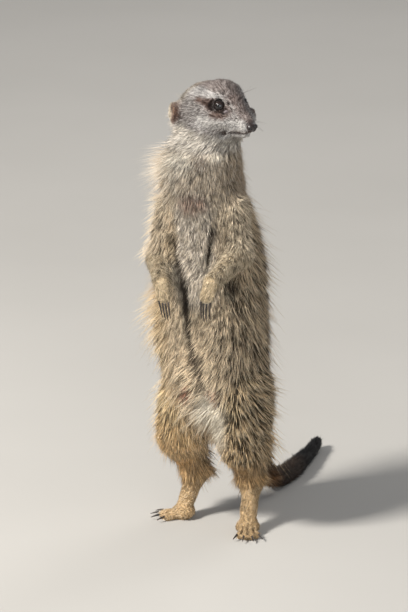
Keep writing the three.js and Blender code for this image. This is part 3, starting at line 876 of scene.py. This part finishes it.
def unwrapped(points, owner):
    """Roots unrolled from their own limb: across is the angle round its bone, up is the way along it."""
    spots = np.zeros((len(points), 2))
    present = np.unique(owner)
    for band, index in enumerate(present):
        chosen = owner == index
        own = np.array([v.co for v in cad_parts[FLESH[index]].data.vertices]) / MM
        ways = np.linalg.eigh(np.cov((own - own.mean(0)).T))[1]
        offsets = (points[chosen] - own.mean(0)) @ ways
        angle = np.arctan2(offsets[:, 0], offsets[:, 1]) / (2 * math.pi) + 0.5
        along = offsets[:, 2]
        along = (along - along.min()) / max(np.ptp(along), 1e-6)
        angle = (angle - angle.min()) / max(np.ptp(angle), 1e-6)
        spots[chosen, 0] = PATCH + angle * (1 - 2 * PATCH)
        spots[chosen, 1] = (band + PATCH + along * (1 - 2 * PATCH)) / len(present)
    return spots


# ---------------------------------------------------------------- making the animal

def facial_forms(points, normals, head):
    """Moves the skin of the head: lids round the eyes, and the mouth's line."""
    points = points - normals * (1.1 * mouth_line(fold(head_places(points))) * head)[:, None]
    for side in SIDES:
        way, reach, opening = eye_opening(points, side)
        near = (reach < 9) & (head > 0.3)
        target = np.where(opening < 1, EYE_BALL * 0.7, EYE_BALL + LID)
        hold = (1 - ease(1.1, 1.7, opening)) * near
        reach = reach + hold * (target - reach)
        buried = near & (reach < EYE_BALL + LID) & (opening >= 1) & (opening < 4)
        reach = np.where(buried, EYE_BALL + LID, reach)
        points = SEAT[side] + way * reach[:, None]
    return points


def make_skin():
    """The one skin, finer on the head, hands and toes: its object, arrays, shares and normals."""
    form = skin_form()
    surface = Surface(form)
    shares = node_shares(surface.points, surface.relax)
    broad = share_of(shares, "trunk", "thigh", "shank", "neck")
    paw = share_of(shares, "foot") * (1 - ease(13, 20, surface.points[:, 2]))
    digits = share_of(shares, "hand", "ear") + paw
    fine = share_of(shares, "head", "ear", "hand") + paw
    surface.points = surface.relax(surface.points, (0.14 + 0.5 * broad) * (1 - 0.93 * digits), 34)
    surface.write()
    form.verts.ensure_lookup_table()
    edges = [e for e in form.edges if min(fine[v.index] for v in e.verts) > 0.5]
    bmesh.ops.subdivide_edges(form, edges=edges, cuts=1, use_grid_fill=True)
    form.verts.index_update()
    surface = Surface(form)
    shares = node_shares(surface.points, surface.relax)
    fine = share_of(shares, "head", "ear", "hand", "foot")
    surface.points = surface.relax(surface.points, 0.3 * fine, 3)
    normals = unit(surface.relax(surface.normals(), 0.5, 3))
    on_floor = surface.points[:, 2] < 0.9
    depth = coat_values(surface.points, shares)["depth"] + SEAL
    colours = markings(surface.points, shares)
    shrunk = surface.points - normals * depth[:, None]
    shrunk = shrunk - normals * (1.1 * digit_gaps(surface.points) * share_of(shares, "hand", "foot"))[:, None]
    digits = share_of(shares, "hand", "foot", "ear")
    soft = (0.25 + 0.3 * share_of(shares, "trunk", "thigh", "neck")) * (1 - digits)
    shrunk = surface.relax(shrunk, soft, 5)
    shrunk[:, 2] = np.where(on_floor, SOLE, np.maximum(shrunk[:, 2], SOLE))
    surface.points = facial_forms(shrunk, normals, share_of(shares, "head"))
    normals = surface.normals()
    skin = piece("skin", form, skin_finish())
    # The skin takes its markings at 0.8 of their brightness, a painted shade for the skin seen between the
    # hairs.
    paint(skin.data, np.clip(colours * 0.8, 0, 1))
    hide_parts(*FLESH)
    return skin, surface, shares, normals


def grow_coat(skin, surface, shares, normals):
    """Tufts over the whole skin, in pieces."""
    rng = np.random.default_rng(5)
    points = surface.points
    flow = lie_of_coat(points, normals, shares, surface.relax)
    skin.data.calc_loop_triangles()
    corners = np.zeros(len(skin.data.loop_triangles) * 3, np.int32)
    skin.data.loop_triangles.foreach_get("vertices", corners)
    corners = corners.reshape(-1, 3)
    a, b, c = (points[corners[:, i]] for i in range(3))
    area = np.linalg.norm(np.cross(b - a, c - a), axis=1) / 2
    values = coat_values(points, shares)
    thick = values["thick"] * ease(0.35, 0.8, points[:, 2])
    for side in SIDES:
        _, reach, opening = eye_opening(points, side)
        thick = thick * np.where(reach < 9, ease(1.02, 1.2, opening), 1)
    thick = thick * ease(3.0, 4.2, np.linalg.norm(points - middle("nose"), axis=1))
    count = rng.poisson(thick[corners].mean(1) * area)
    chosen = np.repeat(np.arange(len(corners)), count)
    weights = rng.dirichlet((1, 1, 1), len(chosen))

    def at(field):
        picked = field[corners[chosen]]
        return (picked * (weights[:, :, None] if picked.ndim == 3 else weights)).sum(1)

    roots, up, lie = at(points), unit(at(normals)), unit(at(flow))
    root_shares = at(shares)
    owner = root_shares.argmax(1)

    def part(*names):
        return share_of(root_shares, *names)

    values = coat_values(roots, root_shares)
    length, width = values["long"], values["wide"]
    tops = roots + up * values["depth"][:, None]
    colour = markings(tops + lie * (0.55 * length)[:, None], root_shares)
    length *= 1 - 0.45 * arm_shadow(tops) * part("trunk")
    bare = np.max([bare_share(tops - (0, 0, above)) for above in (0, 5, 10)], axis=0)
    length *= 1 - 0.8 * bare
    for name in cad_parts:
        if name.startswith("claw_fore"):
            under_claw = near_point(tops, middle(name) + (0, 0, 4), (6, 8, 13)) * part("trunk")
            length *= 1 - 0.4 * under_claw
    length *= 1 - 0.5 * digit_gaps(tops) * part("hand", "foot")
    places = head_places(tops)
    folded = fold(places)
    head = part("head", "ear")
    length *= 1 - 0.7 * head * mouth_line(folded)
    for side in SIDES:
        _, reach, opening = eye_opening(roots, side)
        length *= np.where(reach < 9, 0.45 + 0.55 * ease(1.1, 2.0, opening), 1)

    clump = np.stack([ripple(roots, 9, 21), ripple(roots, 9, 22), ripple(roots, 9, 23)], 1)
    stray = rng.normal(size=roots.shape)
    lie = unit(lie + 0.16 * clump * (1 - 0.5 * head)[:, None] + 0.15 * stray)
    lie = unit(flat_on(lie, up))
    length *= rng.uniform(0.7, 1.2, len(roots)) * (1 + 0.12 * ripple(roots, 7, 24))
    lift = rng.normal(0, 5, len(roots)) + 4 * ripple(roots, 8, 25)
    width *= rng.uniform(0.75, 1.25, len(roots))

    shaggy = part("neck", "trunk", "thigh", "upper_arm")
    shaggy = shaggy * (1 - near_line(tops, *CHEST, 26))
    mane = ease(-14, -30, roots[:, 0]) * near_band(roots[:, 2], 150, 262, 34) * shaggy
    wisp = rng.random(len(roots)) < 0.05 * shaggy + 0.14 * mane
    length *= np.where(wisp, rng.uniform(1.2, 1.8, len(roots)) + 0.5 * mane, 1)
    width *= np.where(wisp, 0.65, 1)
    bristly = np.maximum(near_point(folded, (9, 2, 7), (3, 3, 3)),
                         near_point(folded, (8, 12, -12), (3.5, 4, 2.5)))
    bristle = rng.random(len(roots)) < 0.03 * bristly * head
    length = np.where(bristle, rng.uniform(8, 14, len(roots)), length)
    width = np.where(bristle, 0.2, width)
    lift += np.where(bristle, 24, 0)
    lift += np.where(wisp, 12 + 8 * mane, 0)
    ruff = ease(-12, -24, roots[:, 0]) * near_band(roots[:, 2], 236, 276, 10) * part("head", "neck")
    ruff = ruff * (places[:, 1] < -22)
    length *= 1 + 0.7 * ruff
    lift += 12 * ruff
    lean = np.stack([values["root"] + lift, values["tip"] + 1.3 * lift], 1)
    middle_lean = np.radians(lean.mean(1))[:, None]
    way = np.cos(middle_lean) * lie + np.sin(middle_lean) * up
    low_corner, high_corner = (np.array(corner) / MM for corner in CAD_BOX)
    room = np.where(way > 0, high_corner + PROUD - roots, roots - low_corner + PROUD)
    length = np.minimum(length, (room / np.maximum(np.abs(way), 1e-6)).min(1))

    arm = part("upper_arm", "forearm")
    low = (1 - ease(28, 66, roots[:, 2])) * part("shank", "thigh")
    groin = groin_share(tops)
    calm = 1 - 0.45 * head - 0.45 * part("hand", "foot") - 0.2 * part("neck")
    # Painted shade on the side turned from the key light: more dark tufts there, and painted highlights on
    # the pale tips of the light ones.
    shaded = ease(6, 28, roots[:, 0]) * part("trunk", "thigh")
    chest = near_line(tops, *CHEST, 26) * part("trunk")
    calm = calm + 0.7 * shaded - 0.3 * chest - 0.1 * arm - 0.5 * low - 0.4 * part("tail")
    calm = calm * (1 - 0.85 * groin)
    shaggy_body = part("trunk", "thigh", "neck") > 0.5
    neck = part("neck")[:, None]
    body_cell = (1.25, 1.25, 5.0) - neck * (0.35, 0.35, 2.0)
    cell = np.where(shaggy_body[:, None], body_cell, np.where(head > 0.5, 0.8, 1.3)[:, None])
    own = rng.random(len(roots))
    kind = np.where(rng.random(len(roots)) < 0.75, speckle(roots / cell, 1.0, 31), own)
    kind = np.where(wisp, 0.9, kind)
    black = part("tail_tip")
    dark, light = kind < 0.34 + 0.24 * shaded, kind > 0.64 + 0.1 * shaded
    streak = (ripple(roots, 6, 26) + ripple(roots, 17, 27) + rng.normal(0, 1.5, len(roots))) * 0.05
    bright = 0.9 + calm * np.where(dark, -0.68, np.where(light, 0.35, -0.05)) + streak
    base = colour * np.clip(bright, 0.12, 1.7)[:, None]
    base = base / np.maximum(base.max(1, keepdims=True) / BRIGHTEST, 1)
    fair = ease(0.02, 0.3, colour.mean(1)) * (1 - black) * (1 - bare) * (1 - 0.3 * low)
    nape = ease(20, 38, 0.4 * places[:, 2] - places[:, 1])
    silver = np.maximum(head, 0.8 * part("neck")) * (1 - 0.8 * nape)
    tips = over(np.broadcast_to(CREAM_TIP, base.shape), silver, SILVER_TIP)
    pale = over(base, np.where(light, 0.6 + 0.35 * shaded, np.where(dark, 0.03, 0.2)) * fair, tips)
    nap = 0.35 * np.maximum(low, part("hand", "foot"))
    shades = np.stack([base * (0.5 + 0.4 * groin + nap)[:, None], base * 0.95, pale], 1)
    names = piece_of(roots, owner)
    material = hair_finish()
    for name, (slot_name, _) in PIECES.items():
        mine = np.nonzero(names == name)[0]
        short = length[mine] < SHORT
        spots = unwrapped(roots[mine], owner[mine])
        price = np.where(short, SHORT_FACES, LONG_FACES).sum()
        keep = np.ones(len(mine), bool)
        if price > LARGEST:
            keep = rng.random(len(mine)) < LARGEST / price
        parts = []
        for rings, pick in ((1, short & keep), (2, ~short & keep)):
            if pick.any():
                m = mine[pick]
                parts.append(tuft_arrays(roots[m], up[m], lie[m], np.stack([length[m], width[m]], 1), lean[m],
                                         shades[m], spots[pick], rings))
        coat_piece(name, material, parts)


def make_eyes():
    """Each eye: a ball whose clear front bulges, with iris and pupil, in a dark rim of lid."""
    eye_material, lid_material = eye_finish(), lid_finish()
    for side in SIDES:
        gaze = gaze_of(side)
        form = bmesh.new()
        bmesh.ops.create_uvsphere(form, u_segments=40, v_segments=28, radius=EYE_BALL * MM)
        turn = Vector(gaze).to_track_quat("Z", "Y").to_matrix()
        bmesh.ops.rotate(form, verts=form.verts, cent=(0, 0, 0), matrix=turn)
        ways = unit(np.array([v.co for v in form.verts]))
        facing = ways @ gaze
        for v, ahead in zip(form.verts, facing):
            v.co *= 1 + 0.05 * float(ease(0.7, 1.0, ahead))
        bmesh.ops.translate(form, verts=form.verts, vec=Vector(SEAT[side]) * MM)
        eyeball = piece(f"eyeball_{side}", form, eye_material)
        across = unit(np.cross(UPWARD, gaze))
        pupil = np.hypot(ways @ across / 0.40, ways @ UPWARD / 0.34)
        colours = np.broadcast_to(tone(14, 10, 8), (len(ways), 3))
        colours = over(colours, ease(0.62, 0.8, facing), tone(34, 21, 15))
        colours = over(colours, (1 - ease(0.9, 1.15, pupil)) * (facing > 0), tone(6, 5, 5))
        paint(eyeball.data, colours)
        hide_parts(f"eye_{side}")
        make_lids(side, gaze, across, lid_material)


def make_lids(side, gaze, across, material):
    """The bare rim round the eye's opening: a closed ring of small round section on the eyeball."""
    form = bmesh.new()
    steps, sides = 48, 8
    rings = []
    for step in range(steps):
        angle = 2 * math.pi * step / steps
        wide, tall = OPENING[0] * math.cos(angle), OPENING[1] * math.sin(angle)
        out = unit(gaze * math.sqrt(max(1 - wide * wide - tall * tall, 0.05)) + across * wide + UPWARD * tall)
        outward = unit(across * math.cos(angle) + UPWARD * math.sin(angle))
        outward = unit(outward - (outward @ out) * out)
        centre = SEAT[side] + out * (EYE_BALL + 0.16)
        ring = []
        for turn in range(sides):
            around = 2 * math.pi * turn / sides
            place = centre + 0.26 * math.cos(around) * out + 0.34 * math.sin(around) * outward
            ring.append(form.verts.new(Vector(place) * MM))
        rings.append(ring)
    for one, other in zip(rings, rings[1:] + rings[:1]):
        for i in range(sides):
            j = (i + 1) % sides
            form.faces.new((one[i], one[j], other[j], other[i]))
    bmesh.ops.recalc_face_normals(form, faces=form.faces)
    lids = piece(f"lid_rim_{side}", form, material)


def make_nose():
    """The nose: a broad pad with a nostril on each side and a groove down its middle."""
    form = bmesh.new()
    bmesh.ops.create_icosphere(form, subdivisions=5, radius=1.0)
    centre = middle("nose") - 0.7 * FORWARD - 0.8 * UPWARD
    for v in form.verts:
        left, forward, up = v.co
        taper = 1 - 0.25 * max(-up, 0)
        left, forward, up = left * 3.7 * taper, forward * 2.7, up * 3.0
        groove = 0.45 * math.exp(-(left / 0.5) ** 2) * (forward > 0) * (up < 1.2)
        for sign in (1, -1):
            gap = math.hypot((left - sign * 2.0) / 1.15, (up + 0.5) / 0.9)
            groove += 1.5 * math.exp(-gap ** 4) * (forward > 0)
            wing = math.hypot((left - sign * 3.2) / 1.0, (up + 0.2) / 1.4)
            groove -= 0.35 * math.exp(-wing ** 2) * (forward > 0)
        forward -= groove
        v.co = Vector(centre + left * LEFTWARD + forward * FORWARD + up * UPWARD) * MM
    bmesh.ops.recalc_face_normals(form, faces=form.faces)
    nose = piece("nose_pad", form, nose_finish())
    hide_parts("nose")


def make_claws():
    """Each claw, rounded from its faceted solid."""
    material = claw_finish()
    for name in sorted(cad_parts):
        if name.startswith("claw"):
            claw = piece(name.replace("claw", "horn"), merged(name), material)
            rounding = claw.modifiers.new("rounding", "SUBSURF")
            rounding.levels = rounding.render_levels = 2
            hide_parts(name)


# ---------------------------------------------------------------- studio

AIM = (-7.72, -56.07, 146.9)
AZIMUTH, ELEVATION, DISTANCE = 22, 17, 3.0
LENS = 273
LAMP_AIM = (0, -0.05, 0.15)


def make_studio():
    camera = stand("camera", bpy.data.cameras.new("camera"))
    turn, rise = math.radians(AZIMUTH), math.radians(ELEVATION)
    back = Vector((math.sin(turn) * math.cos(rise), -math.cos(turn) * math.cos(rise), math.sin(rise)))
    camera.location = Vector(AIM) * MM + back * DISTANCE
    camera.rotation_mode = "QUATERNION"
    camera.rotation_quaternion = (-back).to_track_quat("-Z", "Y")
    camera.data.lens = LENS
    bpy.context.scene.camera = camera
    form = bmesh.new()
    bmesh.ops.create_grid(form, x_segments=1, y_segments=1, size=6)
    mesh = bpy.data.meshes.new("floor")
    form.to_mesh(mesh)
    form.free()
    mesh.materials.append(floor_finish())
    floor = stand("floor", mesh)
    lamp("key", (-1.1, -1.3, 1.5), 0.45, 80, (1.0, 0.97, 0.92))
    lamp("fill", (1.0, -1.8, 0.5), 1.6, 19, (0.92, 0.96, 1.0))
    lamp("rim", (0.4, 1.6, 1.5), 0.9, 10, (1.0, 0.98, 0.95))
    world = bpy.data.worlds.new("studio")
    world.use_nodes = True
    world.node_tree.nodes["Background"].inputs["Color"].default_value = (0.92, 0.95, 1.0, 1)
    world.node_tree.nodes["Background"].inputs["Strength"].default_value = 0.3
    bpy.context.scene.world = world
    bpy.context.scene.view_settings.view_transform = "Standard"


def lamp(name, place, size, power, colour):
    light = bpy.data.lights.new(name, "AREA")
    light.size, light.energy, light.color = size, power, colour
    thing = stand(name, light)
    thing.location = place
    thing.rotation_mode = "QUATERNION"
    thing.rotation_quaternion = (Vector(LAMP_AIM) - Vector(place)).to_track_quat("-Z", "Y")


make_studio()
SKIN = make_skin()
grow_coat(*SKIN)
make_eyes()
make_nose()
make_claws()
